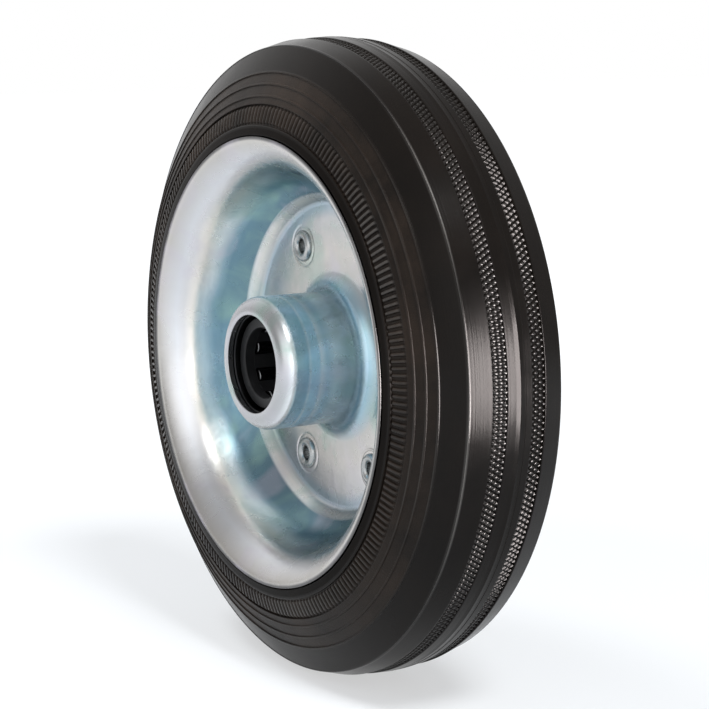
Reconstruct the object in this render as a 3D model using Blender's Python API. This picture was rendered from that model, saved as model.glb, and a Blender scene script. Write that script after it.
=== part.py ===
"""Replacement wheel: a solid rubber tyre on two pressed steel discs with a roller bearing.

Metres, +Z up. The origin is the wheel's centre and the wheel turns about +Y. It stands
upright on its tread, and its front face, the one with the recessed web, looks along -Y.

Every turned section is a list of (radius, y) points. The two discs are drawn the same
way: y is negative towards the face that the disc shows, and the rear disc is mirrored.
"""

import math

import bmesh
import bpy

# Clearance left between pieces that touch on the real wheel.
GAP = 0.0003

# Tyre: tread, sidewall and the ribbed band beside the bead.
TYRE_RADIUS = 0.1000
MIDDLE_RIB_HALF_WIDTH = 0.0043
GROOVE_WIDTH = 0.0047
GROOVE_DEPTH = 0.0010
GROOVE_WALL_SLANT = 0.0002
OUTER_RIB_DROP = 0.0005
SHOULDER_HALF_WIDTH = 0.0155
SHOULDER_DROP = 0.0022
SIDEWALL_BULGE = 0.0013
BEAD_SETBACK = 0.0004
BEAD_WIDTH = 0.0032
BEAD_SLOPE = 0.0006
RIB_BAND_WIDTH = 0.0063
RIB_BAND_EDGE = 0.0004
RIB_COUNT = 240
RIB_HEIGHT = 0.0005
RIB_END = 0.0005

# Pressed steel discs.
SHEET = 0.0020
RIM_RADIUS = 0.0700
RIM_HALF_WIDTH = 0.0274
LIP_CURL_RADIUS = 0.0106
LIP_CURL_TURN = math.radians(80.0)
STEP_RIDGE_RADIUS = 0.0516
STEP_RIDGE_FORWARD = 0.0033
STEP_RIDGE_SLOPE = math.radians(44.0)
STEP_FOOT_INSET = 0.0017
REAR_WEB_RADIUS = 0.0500
WEB_PLANE = 0.00315
HUB_LENGTH = 0.0600
HUB_TUBE_RADIUS = 0.02075
HUB_FILLET = 0.0060
HUB_CORNER = 0.0035
HUB_MOUTH_RADIUS = 0.01525

# Roller bearing. The rollers stand around an axle of AXLE_RADIUS.
AXLE_RADIUS = 0.0100
ROLLER_RADIUS = 0.00235
ROLLER_LENGTH = 0.0440
ROLLER_CHAMFER = 0.0003
ROLLER_COUNT = 8
ROLLER_START = math.radians(29.0)
CAGE_RING_WIDTH = 0.0038
CAGE_INSIDE_STEP = 0.0010
CAGE_OUTSIDE_STEP = 0.0005
SLEEVE_CHAMFER = 0.0008

# Tubular rivets through both webs, on a circle a little outside the middle of the flat web.
RIVET_COUNT = 6
RIVET_START = math.radians(2.0)
RIVET_OUTSET = 0.0006
RIVET_SHANK_RADIUS = 0.0033
RIVET_BORE_RADIUS = 0.0022
RIVET_HEAD_RADIUS = 0.0051
RIVET_HEAD_EDGE = 0.0004
RIVET_HEAD_HEIGHT = 0.0012

# Sides of the faceted rounds. The tyre's channel has the discs' sides and the bearing has
# the hub's, so the gaps between them are even.
TYRE_SIDES = 60
DISC_SIDES = 40
HUB_SIDES = 24
ROLLER_SIDES = 12
RIVET_SIDES = 10

SMOOTH_ANGLE = math.radians(32.0)

# Values that follow from the ones above. The tyre stands on the middle of a flat at -Z.
FIRST_ANGLE = -math.pi / 2.0 + math.pi / TYRE_SIDES
ROLLER_PITCH_RADIUS = AXLE_RADIUS + ROLLER_RADIUS
RACE_RADIUS = AXLE_RADIUS + 2.0 * ROLLER_RADIUS + GAP
HALF_HUB = HUB_LENGTH / 2.0
FRONT_WEB_FACE = WEB_PLANE - GAP / 2.0 - SHEET
REAR_WEB_FACE = WEB_PLANE + GAP / 2.0 + SHEET
WEB_INNER_RADIUS = HUB_TUBE_RADIUS + HUB_FILLET
WEB_OUTER_RADIUS = STEP_RIDGE_RADIUS - STEP_FOOT_INSET
RIVET_CIRCLE_RADIUS = (WEB_INNER_RADIUS + WEB_OUTER_RADIUS) / 2.0 + RIVET_OUTSET


def material(name, colour, roughness, metallic):
    """Principled material in one colour."""
    found = bpy.data.materials.new(name)
    found.use_nodes = True
    shader = found.node_tree.nodes["Principled BSDF"]
    shader.inputs["Base Color"].default_value = (*colour, 1.0)
    shader.inputs["Roughness"].default_value = roughness
    shader.inputs["Metallic"].default_value = metallic
    return found


def arc(centre, radius, start, end, steps):
    """Points on a circle from angle start to angle end, both included."""
    points = []
    for i in range(steps + 1):
        angle = start + (end - start) * i / steps
        points.append((centre[0] + radius * math.cos(angle), centre[1] + radius * math.sin(angle)))
    return points


def bezier(start, start_slope, end, end_slope, steps):
    """Cubic curve that runs inwards and back from start to end, without its first point.

    A slope is the angle between the curve and the wheel's middle plane. Each handle is
    two fifths of the straight distance.
    """
    reach = 0.4 * math.dist(start, end)
    first = (start[0] - reach * math.cos(start_slope), start[1] + reach * math.sin(start_slope))
    last = (end[0] + reach * math.cos(end_slope), end[1] - reach * math.sin(end_slope))
    points = []
    for i in range(1, steps + 1):
        t = i / steps
        weights = ((1 - t) ** 3, 3 * t * (1 - t) ** 2, 3 * t * t * (1 - t), t ** 3)
        controls = (start, first, last, end)
        points.append(tuple(sum(w * c[k] for w, c in zip(weights, controls)) for k in (0, 1)))
    return points


def offset_line(line, distance):
    """The line moved sideways by distance, to the right of its direction, mitred at corners.

    Both end points keep their radius, as the sheet is cut off parallel to the axis there.
    """
    moved = [(line[0][0], line[0][1] + distance)]
    for before, point, after in zip(line, line[1:], line[2:]):
        normals = []
        for a, b in ((before, point), (point, after)):
            length = math.dist(a, b)
            normals.append(((b[1] - a[1]) / length, (a[0] - b[0]) / length))
        total = (normals[0][0] + normals[1][0], normals[0][1] + normals[1][1])
        scale = 2.0 * distance / (total[0] ** 2 + total[1] ** 2)
        moved.append((point[0] + total[0] * scale, point[1] + total[1] * scale))
    moved.append((line[-1][0], line[-1][1] + distance))
    return moved


def ring_vertices(bm, radius, y, sides, shift=0.0):
    """One circle of vertices about the Y axis, turned by shift from the wheel's first angle."""
    ring = []
    for i in range(sides):
        angle = FIRST_ANGLE + shift + math.tau * i / sides
        ring.append(bm.verts.new((radius * math.cos(angle), y, radius * math.sin(angle))))
    return ring


def join_rings(bm, one, other):
    """Faces between two rings with any number of vertices, counted from the same angle.

    Rings of one size get a quad for each side. Otherwise the strip takes each triangle's
    next vertex from whichever ring lags behind.
    """
    if len(one) == len(other):
        for i in range(len(one)):
            j = (i + 1) % len(one)
            bm.faces.new((one[i], one[j], other[j], other[i]))
        return
    i = j = 0
    while i < len(one) or j < len(other):
        a, b = one[i % len(one)], other[j % len(other)]
        if (i + 0.5) * len(other) <= (j + 0.5) * len(one):
            bm.faces.new((a, one[(i + 1) % len(one)], b))
            i += 1
        else:
            bm.faces.new((a, other[(j + 1) % len(other)], b))
            j += 1


def turned_mesh(name, section):
    """Mesh of a closed section turned about Y. Each point is (radius, y, sides)."""
    bm = bmesh.new()
    rings = [ring_vertices(bm, *point) for point in section]
    for ring, following in zip(rings, rings[1:] + rings[:1]):
        if len(ring) == len(following) == RIB_COUNT:
            add_ribs(bm, ring, following)
        else:
            join_rings(bm, ring, following)
    return finished_mesh(name, bm)


def add_ribs(bm, one, other):
    """Radial ribs between two rings of RIB_COUNT vertices, which are the feet of their valleys.

    Each rib is a roof: a ridge level with the sidewall, and a sloping end at each ring.
    """
    inset = math.copysign(RIB_END, ring_radius(other) - ring_radius(one))
    ridge = rib_ridge_ends(bm, one, inset)
    far_ridge = rib_ridge_ends(bm, other, -inset)
    for i in range(RIB_COUNT):
        j = (i + 1) % RIB_COUNT
        bm.faces.new((one[i], one[j], ridge[i]))
        bm.faces.new((one[i], ridge[i], far_ridge[i], other[i]))
        bm.faces.new((one[j], other[j], far_ridge[i], ridge[i]))
        bm.faces.new((other[i], far_ridge[i], other[j]))


def rib_ridge_ends(bm, valley, inset):
    """Ends of the ribs' ridges, half a rib on from the valley's vertices and inset from them."""
    radius = ring_radius(valley) + inset
    y = math.copysign(sidewall_y(radius), valley[0].co.y)
    return ring_vertices(bm, radius, y, RIB_COUNT, math.pi / RIB_COUNT)


def ring_radius(ring):
    """Radius of a ring of vertices."""
    return math.hypot(ring[0].co.x, ring[0].co.z)


def finished_mesh(name, bm):
    """The bmesh as a mesh with its faces pointing out."""
    bmesh.ops.recalc_face_normals(bm, faces=bm.faces)
    mesh = bpy.data.meshes.new(name)
    bm.to_mesh(mesh)
    bm.free()
    return mesh


def add_object(name, mesh, finish, parent=None):
    """One named object, shaded smooth except at its real edges."""
    mesh.materials.append(finish)
    mesh.shade_smooth()
    mesh.set_sharp_from_angle(angle=SMOOTH_ANGLE)
    thing = bpy.data.objects.new(name, mesh)
    bpy.context.scene.collection.objects.link(thing)
    thing.parent = parent
    return thing


def disc_line(web_face, front):
    """The line of a disc's visible side, from the rim lip to the mouth of the hub."""
    curl_centre = (RIM_RADIUS, -RIM_HALF_WIDTH + LIP_CURL_RADIUS)
    lip = arc(curl_centre, LIP_CURL_RADIUS, -math.pi / 2.0, -math.pi / 2.0 - LIP_CURL_TURN, 3)
    if front:
        ridge = (STEP_RIDGE_RADIUS, -STEP_RIDGE_FORWARD)
        bowl = bezier(lip[-1], LIP_CURL_TURN, ridge, STEP_RIDGE_SLOPE, 4)
        bowl.append((WEB_OUTER_RADIUS, web_face))
    else:
        bowl = bezier(lip[-1], LIP_CURL_TURN, (REAR_WEB_RADIUS, web_face), 0.0, 5)
    fillet_centre = (WEB_INNER_RADIUS, web_face - HUB_FILLET)
    fillet = arc(fillet_centre, HUB_FILLET, math.pi / 2.0, math.pi, 3)
    corner_centre = (HUB_TUBE_RADIUS - HUB_CORNER, -HALF_HUB + HUB_CORNER)
    corner = arc(corner_centre, HUB_CORNER, 0.0, -math.pi / 2.0, 3)
    return lip + bowl + fillet + corner + [(HUB_MOUTH_RADIUS, -HALF_HUB)]


def disc_section(line):
    """Closed section of the sheet. The small rounds of the hub take half the sides."""
    section = []
    for radius, y in line + offset_line(line, SHEET)[::-1]:
        on_hub = radius < HUB_TUBE_RADIUS + HUB_FILLET / 2.0
        section.append((radius, y, HUB_SIDES if on_hub else DISC_SIDES))
    return section


def add_disc(name, web_face, front, finish, holes, parent):
    """One pressed disc with its rivet holes."""
    section = disc_section(disc_line(web_face, front))
    if not front:
        section = [(radius, -y, sides) for radius, y, sides in section]
    mesh = turned_mesh(name, section)
    disc = add_object(name, mesh, finish, parent)
    cut(disc, holes)
    return disc


def cut(thing, cutter):
    """Take the cutter's shape out of an object."""
    modifier = thing.modifiers.new("cut", "BOOLEAN")
    modifier.operation = "DIFFERENCE"
    modifier.solver = "EXACT"
    modifier.object = cutter


def round_bars(name, radius, length, sides, places):
    """Cutter made of round bars along Y, one at each (x, y, z) place."""
    bm = bmesh.new()
    for place in places:
        add_bar(bm, radius, length, sides, place)
    cutter = bpy.data.objects.new(name, finished_mesh(name, bm))
    bpy.context.scene.collection.objects.link(cutter)
    cutter.hide_render = True
    cutter.display_type = "WIRE"
    return cutter


def add_bar(bm, radius, length, sides, place):
    """A closed round bar along Y, centred on place, added to a bmesh."""
    made = bmesh.ops.create_cone(bm, cap_ends=True, segments=sides, radius1=radius,
                                 radius2=radius, depth=length)
    for vertex in made["verts"]:
        x, y, z = vertex.co
        vertex.co = (x + place[0], z + place[1], place[2] - y)


def circle_places(radius, count, start, y=0.0):
    """Evenly spaced places on a circle about the Y axis."""
    places = []
    for i in range(count):
        angle = start + math.tau * i / count
        places.append((radius * math.cos(angle), y, radius * math.sin(angle)))
    return places


def sidewall_y(radius):
    """Half width of the tyre at a radius between its bead ring and its shoulder."""
    bead_edge = RIM_RADIUS + GAP + BEAD_WIDTH
    bead_y = RIM_HALF_WIDTH - BEAD_SETBACK - BEAD_SLOPE
    along = (radius - bead_edge) / (TYRE_RADIUS - SHOULDER_DROP - bead_edge)
    straight = bead_y + (SHOULDER_HALF_WIDTH - bead_y) * along
    return straight + 4.0 * SIDEWALL_BULGE * along * (1.0 - along)


def tyre_outer_half():
    """Outer section from the toe beside the rim lip to the middle rib.

    Each point is (radius, half width), with a number of sides where it isn't the tyre's.
    """
    toe = RIM_RADIUS + GAP
    bead_edge = toe + BEAD_WIDTH
    band_edge = bead_edge + RIB_BAND_WIDTH
    sidewall_middle = (band_edge + TYRE_RADIUS - SHOULDER_DROP) / 2.0
    groove_outer = MIDDLE_RIB_HALF_WIDTH + GROOVE_WIDTH
    outer_rib_radius = TYRE_RADIUS - OUTER_RIB_DROP
    return [
        (toe, RIM_HALF_WIDTH - BEAD_SETBACK),
        (bead_edge, sidewall_y(bead_edge)),
        (bead_edge + RIB_BAND_EDGE, sidewall_y(bead_edge + RIB_BAND_EDGE) - RIB_HEIGHT, RIB_COUNT),
        (band_edge - RIB_BAND_EDGE, sidewall_y(band_edge - RIB_BAND_EDGE) - RIB_HEIGHT, RIB_COUNT),
        (band_edge, sidewall_y(band_edge)),
        (sidewall_middle, sidewall_y(sidewall_middle)),
        (TYRE_RADIUS - SHOULDER_DROP, SHOULDER_HALF_WIDTH),
        (outer_rib_radius, groove_outer),
        (outer_rib_radius - GROOVE_DEPTH, groove_outer - GROOVE_WALL_SLANT),
        (TYRE_RADIUS - GROOVE_DEPTH, MIDDLE_RIB_HALF_WIDTH + GROOVE_WALL_SLANT),
        (TYRE_RADIUS, MIDDLE_RIB_HALF_WIDTH),
    ]


def channel_half(line, deepest):
    """Rubber side of a disc's bowl, GAP clear of the sheet, out to the back of the rim lip."""
    backed = offset_line(line, SHEET + GAP)
    kept = [point for point in backed[1:] if point[0] > deepest]
    return [(RIM_RADIUS + GAP, backed[0][1])] + kept


def tyre_section():
    """Closed section of the tyre. It fills the channel between the discs and wraps their lips."""
    outer = [point if len(point) > 2 else (*point, TYRE_SIDES) for point in tyre_outer_half()]
    front_line = disc_line(FRONT_WEB_FACE, True)
    rear_line = disc_line(-REAR_WEB_FACE, False)
    ridge_back = [p for p in offset_line(front_line, SHEET + GAP) if p[0] > STEP_RIDGE_RADIUS + SHEET][-1]
    front = channel_half(front_line, STEP_RIDGE_RADIUS + SHEET)
    rear = channel_half(rear_line, ridge_back[0])
    section = [(radius, -y, sides) for radius, y, sides in outer]
    section += outer[::-1]
    section += [(radius, -y, DISC_SIDES) for radius, y in rear]
    section += [(radius, y, DISC_SIDES) for radius, y in front[::-1]]
    return section


def sleeve_section():
    """Closed section of the tube that the rollers run in, between the two hub lips."""
    outside = HUB_TUBE_RADIUS - SHEET - GAP
    end = HALF_HUB - SHEET - GAP
    half = [(RACE_RADIUS, -end), (outside - SLEEVE_CHAMFER, -end), (outside, -end + SLEEVE_CHAMFER)]
    return with_sides(half + mirrored(half), HUB_SIDES)


def mirrored(half):
    """The other half of a section that is symmetric about the wheel's middle plane."""
    return [(radius, -y) for radius, y in half[::-1]]


def with_sides(section, sides):
    """The section with one number of sides all along."""
    return [(radius, y, sides) for radius, y in section]


def add_cage(finish, parent):
    """Cage with a window for each roller, which keeps it in from both sides."""
    outside = RACE_RADIUS - GAP - CAGE_OUTSIDE_STEP
    inside = AXLE_RADIUS + CAGE_INSIDE_STEP
    window = ROLLER_LENGTH + 2.0 * GAP
    end = window / 2.0 + CAGE_RING_WIDTH
    half = [(inside, -end), (outside, -end)]
    mesh = turned_mesh("roller_cage", with_sides(half + mirrored(half), HUB_SIDES))
    cage = add_object("roller_cage", mesh, finish, parent)
    places = circle_places(ROLLER_PITCH_RADIUS, ROLLER_COUNT, ROLLER_START)
    windows = round_bars("cage_windows", ROLLER_RADIUS + GAP, window, ROLLER_SIDES, places)
    cut(cage, windows)
    return cage


def add_rollers(finish, cage):
    """Hardened rollers, each with its origin on its own axis."""
    for i, place in enumerate(circle_places(ROLLER_PITCH_RADIUS, ROLLER_COUNT, ROLLER_START)):
        name = f"roller_{i + 1}"
        bm = bmesh.new()
        add_bar(bm, ROLLER_RADIUS, ROLLER_LENGTH, ROLLER_SIDES, (0.0, 0.0, 0.0))
        rims = [edge for edge in bm.edges if abs(edge.verts[0].co.y - edge.verts[1].co.y) < GAP]
        bmesh.ops.bevel(bm, geom=rims, offset=ROLLER_CHAMFER, segments=1, affect="EDGES")
        roller = add_object(name, finished_mesh(name, bm), finish, cage)
        roller.location = place


def rivet_section():
    """Closed section of a tubular rivet, with y counted from the middle of its grip."""
    seat = SHEET + 1.5 * GAP
    edge = seat + RIVET_HEAD_EDGE
    crest_radius = (RIVET_BORE_RADIUS + RIVET_HEAD_RADIUS) / 2.0
    half = [
        (RIVET_BORE_RADIUS, edge),
        (crest_radius, seat + RIVET_HEAD_HEIGHT),
        (RIVET_HEAD_RADIUS, edge),
        (RIVET_HEAD_RADIUS, seat),
        (RIVET_SHANK_RADIUS, seat),
    ]
    return with_sides(mirrored(half)[::-1] + half[::-1], RIVET_SIDES)


def add_rivets(finish, parent):
    """Tubular rivets that hold the two webs together."""
    places = circle_places(RIVET_CIRCLE_RADIUS, RIVET_COUNT, RIVET_START, WEB_PLANE)
    for i, place in enumerate(places):
        name = f"rivet_{i + 1}"
        mesh = turned_mesh(name, rivet_section())
        rivet = add_object(name, mesh, finish, parent)
        rivet.location = place


def rivet_holes():
    """Cutter for the holes of both webs."""
    places = circle_places(RIVET_CIRCLE_RADIUS, RIVET_COUNT, RIVET_START, WEB_PLANE)
    length = 4.0 * SHEET + GAP
    return round_bars("rivet_holes", RIVET_SHANK_RADIUS + GAP, length, RIVET_SIDES, places)


def build():
    """Make the whole wheel."""
    for thing in list(bpy.data.objects):
        bpy.data.objects.remove(thing)

    rubber = material("black rubber", (0.013, 0.012, 0.011), 0.42, 0.0)
    zinc = material("zinc plated sheet", (0.60, 0.64, 0.66), 0.30, 1.0)
    eyelet = material("zinc plated eyelet", (0.58, 0.57, 0.55), 0.28, 1.0)
    race = material("ground steel", (0.42, 0.42, 0.42), 0.32, 1.0)
    hardened = material("hardened steel", (0.50, 0.50, 0.50), 0.18, 1.0)
    nylon = material("black nylon", (0.015, 0.015, 0.016), 0.45, 0.0)

    centre = bpy.data.objects.new("wheel_centre", None)
    bpy.context.scene.collection.objects.link(centre)

    add_object("tyre", turned_mesh("tyre", tyre_section()), rubber, centre)

    holes = rivet_holes()
    add_disc("front_disc", FRONT_WEB_FACE, True, zinc, holes, centre)
    add_disc("rear_disc", -REAR_WEB_FACE, False, zinc, holes, centre)
    add_rivets(eyelet, centre)

    sleeve = turned_mesh("bearing_sleeve", sleeve_section())
    add_object("bearing_sleeve", sleeve, race, centre)
    cage = add_cage(nylon, centre)
    add_rollers(hardened, cage)


build()
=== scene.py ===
"""Replacement wheel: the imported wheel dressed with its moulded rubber, plated sheet and bearing.

Metres, +Z up. The wheel's centre is the origin and its axle is the Y axis. Its front face looks
along -Y. Every new piece is a surface worked out with numpy: an outline in (radius, y) turned
about the axle, or a height over a grid.
"""

import functools
import math

import bmesh
import bpy
import numpy as np
from mathutils import Matrix, Vector


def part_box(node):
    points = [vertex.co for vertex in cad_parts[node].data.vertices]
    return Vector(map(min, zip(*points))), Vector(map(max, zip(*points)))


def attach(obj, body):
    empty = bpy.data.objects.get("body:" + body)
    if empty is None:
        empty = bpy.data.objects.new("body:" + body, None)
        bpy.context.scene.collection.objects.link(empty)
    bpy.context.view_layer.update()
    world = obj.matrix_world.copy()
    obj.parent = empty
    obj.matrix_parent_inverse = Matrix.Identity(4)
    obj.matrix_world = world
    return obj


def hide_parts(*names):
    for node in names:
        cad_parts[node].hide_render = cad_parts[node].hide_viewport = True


bl_info = {
    "name": "Replacement Wheel",
    "version": (1, 0, 0),
    "blender": (4, 5, 0),
    "location": "3D View > Sidebar > Wheel",
    "description": "Dresses a rubber wheel with pressed discs, rivets and a roller bearing",
    "category": "Object",
}

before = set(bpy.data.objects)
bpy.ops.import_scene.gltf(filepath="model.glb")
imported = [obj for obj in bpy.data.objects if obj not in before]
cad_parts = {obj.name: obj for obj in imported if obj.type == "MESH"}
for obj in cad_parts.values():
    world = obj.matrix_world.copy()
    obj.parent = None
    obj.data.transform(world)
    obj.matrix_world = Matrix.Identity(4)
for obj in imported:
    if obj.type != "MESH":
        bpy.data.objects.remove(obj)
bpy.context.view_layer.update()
FRONT_DISC_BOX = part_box("front_disc")
SLEEVE_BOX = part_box("bearing_sleeve")
CAGE_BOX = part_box("roller_cage")

TAU = math.tau

# Faces round a whole turn, and the steps of the shapes that repeat round it.
TYRE_SIDES = 288
SLEEVE_SIDES = 160
CAGE_SIDES = 128
RIVET_SIDES = 56
ROLLER_SIDES = 40
SECTOR_STEPS = 48
RADIAL_STEPS = 18
BLEND_RINGS = 5
KNURL_STEPS = 8
KNURL_ROWS = 17
RIB_WAVE = (0.0, 0.05, 0.85, 1.0, 1.0, 0.85, 0.05, 0.0)

# Steps down the sidewall, and down the lip of a disc's face, of its back and of the tyre's channel.
WALL_STEPS = 34
FACE_STEPS = 26
BACK_STEPS = 12
CHANNEL_STEPS = 10

# A fine ring's section: distance from its middle, share of its height, and rounding.
RING_SECTION = (
    (-0.0004, 0.0, 0.0001), (-0.00025, 1.0, 0.00012), (0.00025, 1.0, 0.00015), (0.0003, 0.0, 0.0001),
)

# The web's sectors lie between these radii, and each web stands this far off the plane between them.
# Round a rivet's hole, these circles carry the ring that the tool presses.
WEB_INNER = 0.0295
WEB_OUTER = 0.0475
WEB_GAP = 0.00015
PRESSED_CIRCLES = (0.0045, 0.0053, 0.0056, 0.0059, 0.0061, 0.0063, 0.0065, 0.0067, 0.0070, 0.0075)

# How far a small step leans, and how far a moulded band reaches past its own edges.
HAIR = 0.0001

# Points of an outline that lie closer together than this are one, and the point that keeps a
# straight flat lies this far beyond the arc at its end. Steeper edges than this are shaded sharp.
SAME_POINT = 1e-6
FLAT_HOLD = 0.00003
SHARP_ANGLE = math.radians(40.0)


def length(name, text, metres):
    """A size in metres as a property."""
    return bpy.props.FloatProperty(
        name=name, description=text, default=metres, min=0.0, precision=5, unit="LENGTH", subtype="DISTANCE"
    )


def turn(name, text, degrees):
    """An angle as a property."""
    return bpy.props.FloatProperty(
        name=name, description=text, default=math.radians(degrees), unit="ROTATION", subtype="ANGLE"
    )


def count(name, text, number):
    """A number of copies as a property."""
    return bpy.props.IntProperty(name=name, description=text, default=number, min=3)


def share(name, text, number):
    """A plain number as a property."""
    return bpy.props.FloatProperty(name=name, description=text, default=number, min=0.0)


def colour(name, text, code):
    """An sRGB hex colour as a property, held as linear light."""
    return bpy.props.FloatVectorProperty(
        name=name, description=text, default=linear(code), size=4, min=0.0, max=1.0, subtype="COLOR"
    )


def linear(code):
    """An sRGB hex value such as "b8bcc0" as linear red, green, blue and alpha."""
    values = [int(code[i:i + 2], 16) / 255.0 for i in (0, 2, 4)]
    return tuple(v / 12.92 if v <= 0.04045 else ((v + 0.055) / 1.055) ** 2.4 for v in values) + (1.0,)


class WHEEL_PG_tyre(bpy.types.PropertyGroup):
    """Sizes and colours of the moulded tyre."""

    radius: length("Radius", "Radius over the middle rib", 0.1000)
    middle_rib: length("Middle rib", "Half width of the middle rib", 0.0043)
    roof: length("Roof", "How far the middle rib falls from the mould line to its edges", 0.0002)
    groove: length("Groove", "Width of each groove", 0.0047)
    groove_depth: length("Groove depth", "Depth of a groove below its ribs", 0.0010)
    outer_rib_drop: length("Outer rib drop", "How much lower the outer ribs lie", 0.0005)
    shoulder: length("Shoulder", "Half width at the shoulders", 0.0155)
    shoulder_drop: length("Shoulder drop", "How much lower the shoulders lie", 0.0022)
    bulge: length("Sidewall bulge", "How far the sidewall swells out", 0.0013)
    bead: length("Bead ring", "Width of the plain ring beside the rim", 0.0032)
    bead_setback: length("Bead setback", "How far the bead lies behind the rim lip", 0.0004)
    bead_slope: length("Bead slope", "Fall across the bead ring", 0.0006)
    band: length("Ribbed band", "Width of the ribbed band", 0.0063)
    band_depth: length("Band depth", "Height of the radial ribs", 0.00075)
    ribs: count("Ribs", "Radial ribs on each side", 240)
    ring_height: length("Ring height", "Height of the fine rings on the sidewall", 0.0004)
    ring_radii: bpy.props.FloatVectorProperty(
        name="Ring radii", description="Radii of the three fine rings", size=3,
        default=(0.0823, 0.0859, 0.0895), min=0.0, precision=5, unit="LENGTH",
    )
    knurls: count("Knurls", "Diamonds around each groove", 342)
    knurl_height: length("Knurl height", "Height of the diamonds in the grooves", 0.00055)
    knurl_period: length("Knurl period", "Width of two rows of diamonds", 0.0030)
    black: colour("Rubber", "Colour of the clean rubber", "120f0d")
    wear_and_glint: colour("Handled rubber", "Colour where the rubber is scuffed and dusty", "352b24")
    # Light grey of the rub on the tops, flash and rings, which also stands for painted glints on them.
    rubbed_and_glint: colour("Rubbed tops", "Colour of the flash, rings and tops where they are rubbed", "8a8580")


class WHEEL_PG_discs(bpy.types.PropertyGroup):
    """Sizes and colours of the pressed steel discs."""

    sheet: length("Sheet", "Thickness of the sheet", 0.0020)
    rim_radius: length("Rim radius", "Radius of the rim lip's cut edge", 0.0700)
    rim_half_width: length("Rim half width", "Half the width over both lips", 0.0274)
    edge: length("Lip edge", "Radius of the lip's tight edge", 0.0050)
    edge_turn: turn("Edge turn", "How far the tight edge rolls over", 30.0)
    curl: length("Lip curl", "Radius of the lip behind its edge", 0.0165)
    curl_turn: turn("Lip turn", "How far the lip rolls over", 74.0)
    ridge_radius: length("Ridge radius", "Radius of the step's ridge", 0.0516)
    ridge_forward: length("Ridge forward", "How far the ridge stands before the middle", 0.0033)
    ridge_slope: turn("Ridge slope", "Slope of the bowl at the ridge", 44.0)
    foot: length("Step foot", "How far the step's foot lies inside its ridge", 0.0026)
    rear_web: length("Rear web", "Radius where the rear bowl meets its web", 0.0500)
    web_plane: length("Web plane", "Where the two webs meet, behind the middle", 0.00315)
    half_hub: length("Half hub", "Half the length of the hub", -FRONT_DISC_BOX[0].y)
    tube: length("Hub tube", "Outer radius of the hub tube", 0.02075)
    fillet: length("Hub fillet", "Radius of the fillet round the hub", 0.0060)
    corner: length("Hub corner", "Radius of the hub's outer corner", 0.0045)
    mouth: length("Hub mouth", "Radius of the hub's mouth", 0.01525)
    blue: colour("Blue film", "Zinc film at the foot of the hub tube", "a9c3d1")
    teal: colour("Green film", "Zinc film where it turns green", "8fb0a4")
    lilac: colour("Lilac film", "Zinc film where it turns lilac", "c3bccb")


class WHEEL_PG_rivets(bpy.types.PropertyGroup):
    """Sizes and colour of the tubular rivets."""

    number: count("Rivets", "Rivets through the two webs", 6)
    first: turn("First rivet", "Angle of the first rivet about the axle", 2.0)
    circle: length("Rivet circle", "Radius of the rivets' circle", 0.038925)
    hole: length("Hole", "Radius of the holes in the webs", 0.0036)
    shank: length("Shank", "Outer radius of the shank", 0.0033)
    bore: length("Bore", "Radius of the rivet's bore", 0.0022)
    head: length("Head", "Radius of the rolled head", 0.0051)
    head_height: length("Head height", "Height of the rolled head", 0.00135)
    coin: length("Coined ring", "Radius of the ring that the tool presses round the head", 0.0063)
    plating: colour("Plating", "Colour of the rivets", "b9b7b4")


class WHEEL_PG_bearing(bpy.types.PropertyGroup):
    """Sizes and colours of the roller bearing."""

    race: length("Race", "Radius that the rollers run in", 0.0150)
    sleeve: length("Sleeve", "Outer radius of the sleeve", 0.01845)
    pitch: length("Pitch radius", "Radius of the rollers' circle", 0.01235)
    roller: length("Roller", "Radius of a roller", 0.00235)
    roller_length: length("Roller length", "Length of a roller", 0.0440)
    rollers: count("Rollers", "Rollers in the cage", 8)
    first: turn("First roller", "Angle of the first roller about the axle", 29.0)
    cage_inside: length("Cage inside", "Inner radius of the cage", 0.0110)
    cage_outside: length("Cage outside", "Outer radius of the cage", 0.0142)
    cage_ring: length("Cage ring", "Width of the cage's end rings", 0.0038)
    gap: length("Gap", "Clearance round the rollers", 0.0003)


class WHEEL_PG_stage(bpy.types.PropertyGroup):
    """Floor, lamps and camera."""

    azimuth: turn("Azimuth", "Camera's angle round the wheel", 58.13)
    elevation: turn("Elevation", "Camera's angle over the floor", 9.07)
    distance: length("Distance", "Camera's distance from the wheel", 0.7076)
    aside: length("Aside", "How far the camera stands to its right", 0.00644)
    above: length("Above", "How far the camera stands above its aim", 0.00052)
    lens: share("Lens", "Focal length in millimetres on a 36 mm sensor", 113.74)
    floor: colour("Floor", "Colour of the floor", "a8abae")


# Meshes.


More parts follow.
